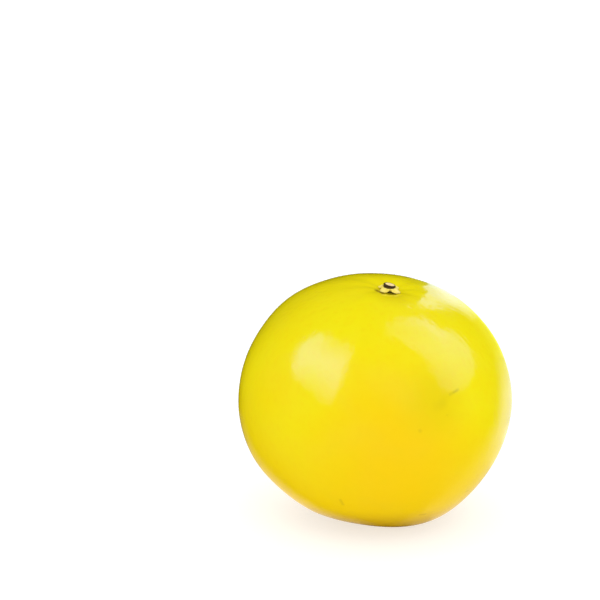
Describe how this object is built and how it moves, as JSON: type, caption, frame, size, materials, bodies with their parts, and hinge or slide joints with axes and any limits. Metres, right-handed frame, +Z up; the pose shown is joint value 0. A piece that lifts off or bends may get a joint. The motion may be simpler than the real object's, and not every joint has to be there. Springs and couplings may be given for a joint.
{
  "type": "sweet orange",
  "caption": "Whole sweet orange, slightly flattened, with a star-shaped calyx and a slanting cut stem stub, leaning a little on a small flat resting spot.",
  "frame": {"origin": "on the surface that the fruit rests on, under the middle of its box", "axes": "+Z up, -Y towards the side it is seen from, +X to the right of that view; the stem axis leans about 9 degrees towards -Y and 6 degrees towards +X from +Z"},
  "size_m": [0.0734, 0.0738, 0.0659],
  "materials": {
    "peel": "waxy and finely pitted, lemon yellow at the stem end turning golden underneath",
    "sepal": "dry straw-coloured sepals",
    "bark": "dark dry bark with a pale cut face"
  },
  "bodies": {
    "root": {"fruit": "peel", "calyx": "sepal", "stem_stub": "bark"}
  },
  "joints": []
}
